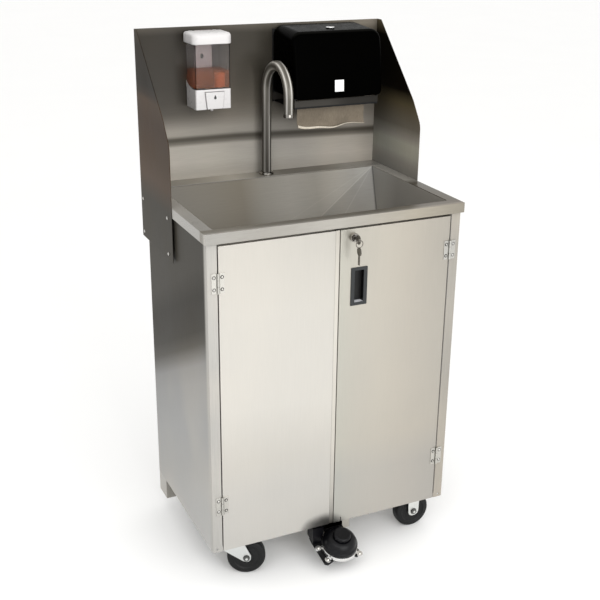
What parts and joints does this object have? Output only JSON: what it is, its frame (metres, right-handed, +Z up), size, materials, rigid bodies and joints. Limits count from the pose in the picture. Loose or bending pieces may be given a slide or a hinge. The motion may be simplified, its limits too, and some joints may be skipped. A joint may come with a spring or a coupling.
{
  "type": "portable handwash sink",
  "caption": "Stainless portable hand-wash sink: raised-splash bowl on a two-door caster cabinet, gooseneck spout, foot pump, soap and roll-towel dispensers.",
  "frame": {"origin": "on the floor under the middle of the whole object's bounding box", "axes": "+X to the right as a user faces the sink, +Y to the rear, towards the splash back, +Z up"},
  "size_m": [0.6978, 0.5514, 1.362],
  "materials": {
    "steel_sheet": "satin",
    "steel_bright": "satin",
    "steel_bowl": "satin",
    "steel_door": "satin",
    "screw_steel": "polished",
    "hinge_steel": "satin",
    "chrome": "polished",
    "nickel": "satin",
    "zinc": "satin",
    "grey_plastic": "matte",
    "dark_plastic": "matte",
    "black_plastic": "matte",
    "black_gloss": "gloss",
    "white_plastic": "gloss",
    "pale_plastic": "matte",
    "tank_white": "satin",
    "tank_grey": "satin",
    "cap_plastic": "matte",
    "clear_hose": "satin",
    "smoke_clear": "clear",
    "soap_amber": "clear",
    "black_rubber": "matte",
    "wheel_rubber": "matte",
    "black_steel": "satin",
    "kraft_paper": "matte"
  },
  "bodies": {
    "cabinet": {"side_panel_left": "steel_sheet", "side_panel_right": "steel_sheet", "back_panel": "steel_sheet", "bottom_pan": "steel_sheet", "front_rail": "steel_sheet", "rear_guard_left": "steel_sheet", "rear_guard_right": "steel_sheet", "sink_top": "steel_bright", "sink_bowl": "steel_bowl", "splash_back": "steel_sheet", "splash_wing_left": "steel_sheet", "splash_wing_right": "steel_sheet", "screws": "screw_steel", "hinge_frame_leaves": "hinge_steel", "drain_strainer": "steel_bright", "drain_tailpiece": "grey_plastic", "drain_hose": "grey_plastic", "suction_hose": "clear_hose", "supply_hose": "clear_hose", "fresh_tank": "tank_white", "waste_tank": "tank_grey", "tank_caps": "cap_plastic", "faucet_flange": "chrome", "soap_bracket": "grey_plastic", "soap_tank": "smoke_clear", "soap_liquid": "soap_amber", "soap_pump": "pale_plastic", "soap_base": "white_plastic", "towel_chassis": "dark_plastic", "pump_body": "black_rubber", "pump_ring": "chrome", "pump_dome": "black_rubber", "pump_bracket": "black_steel", "pump_hanger": "steel_sheet", "caster_plates": "zinc", "rigid_forks": "zinc", "towel_sheet": "kraft_paper"},
    "door_left": {"door_left": "steel_door", "door_strip": "steel_sheet", "door_left_hinges": "hinge_steel"},
    "door_right": {"door_right": "steel_door", "pull_cup": "black_plastic", "lock_barrel": "chrome", "door_right_hinges": "hinge_steel"},
    "lock": {"lock_plug": "chrome", "key": "nickel"},
    "spare_key": {"spare_key": "nickel"},
    "spout": {"faucet_spout": "chrome", "aerator": "chrome"},
    "soap_lid": {"soap_lid": "white_plastic"},
    "soap_button": {"soap_button": "white_plastic"},
    "towel_cover": {"towel_cover": "black_gloss"},
    "towel_roll": {"towel_roll": "kraft_paper"},
    "pump_plunger": {"pump_plunger": "black_rubber"},
    "front_swivel": {"swivel_fork_front": "zinc"},
    "rear_swivel": {"swivel_fork_rear": "zinc"},
    "front_left_wheel": {"wheel_left_front": "wheel_rubber"},
    "rear_left_wheel": {"wheel_left_rear": "wheel_rubber"},
    "front_right_wheel": {"wheel_right_front": "wheel_rubber"},
    "rear_right_wheel": {"wheel_right_rear": "wheel_rubber"}
  },
  "joints": [
    {"name": "door_left_hinge", "type": "hinge", "parent": "cabinet", "child": "door_left", "pos_m": [-0.3125, -0.2049, 0.522], "axis": [0, 0, -1], "range_deg": [0, 110]},
    {"name": "door_right_hinge", "type": "hinge", "parent": "cabinet", "child": "door_right", "pos_m": [0.3125, -0.2049, 0.522], "axis": [0, 0, 1], "range_deg": [0, 110]},
    {"name": "lock_turn", "type": "hinge", "parent": "door_right", "child": "lock", "pos_m": [0.036, -0.2138, 0.912], "axis": [0, -1, 0], "range_deg": [0, 90]},
    {"name": "spare_key_swing", "type": "hinge", "parent": "lock", "child": "spare_key", "pos_m": [0.036, -0.2348, 0.912], "axis": [-1, 0, 0], "range_deg": [-20, 60]},
    {"name": "spout_swivel", "type": "hinge", "parent": "cabinet", "child": "spout", "pos_m": [0, 0.2452, 0.973], "axis": [0, 0, 1], "range_deg": [-55, 5]},
    {"name": "soap_lid_hinge", "type": "hinge", "parent": "cabinet", "child": "soap_lid", "pos_m": [-0.167, 0.2715, 1.35], "axis": [-1, 0, 0], "range_deg": [0, 75]},
    {"name": "soap_button_press", "type": "slide", "parent": "cabinet", "child": "soap_button", "axis": [0, 1, 0], "range_m": [0, 0.0065], "stiffness_N_per_m": 900},
    {"name": "towel_cover_hinge", "type": "hinge", "parent": "cabinet", "child": "towel_cover", "pos_m": [0.158, 0.1347, 1.185], "axis": [1, 0, 0], "range_deg": [0, 80]},
    {"name": "towel_roll_spin", "type": "hinge", "parent": "cabinet", "child": "towel_roll", "pos_m": [0.151, 0.2042, 1.27], "axis": [1, 0, 0], "continuous": true},
    {"name": "pump_press", "type": "slide", "parent": "cabinet", "child": "pump_plunger", "axis": [0, 0.342, -0.9397], "range_m": [0, 0.014], "stiffness_N_per_m": 2200},
    {"name": "front_swivel_turn", "type": "hinge", "parent": "cabinet", "child": "front_swivel", "pos_m": [-0.266, -0.1408, 0.112], "axis": [0, 0, 1], "continuous": true},
    {"name": "front_left_wheel_spin", "type": "hinge", "parent": "front_swivel", "child": "front_left_wheel", "pos_m": [-0.23029, -0.1538, 0.051], "axis": [-0.342, -0.9397, 0], "continuous": true},
    {"name": "rear_swivel_turn", "type": "hinge", "parent": "cabinet", "child": "rear_swivel", "pos_m": [-0.266, 0.0952, 0.112], "axis": [0, 0, 1], "continuous": true},
    {"name": "rear_left_wheel_spin", "type": "hinge", "parent": "rear_swivel", "child": "rear_left_wheel", "pos_m": [-0.23156, 0.11126, 0.051], "axis": [0.4226, -0.9063, 0], "continuous": true},
    {"name": "front_right_wheel_spin", "type": "hinge", "parent": "cabinet", "child": "front_right_wheel", "pos_m": [0.28, -0.1368, 0.051], "axis": [0, -1, 0], "continuous": true},
    {"name": "rear_right_wheel_spin", "type": "hinge", "parent": "cabinet", "child": "rear_right_wheel", "pos_m": [0.28, 0.1522, 0.051], "axis": [0, -1, 0], "continuous": true}
  ]
}
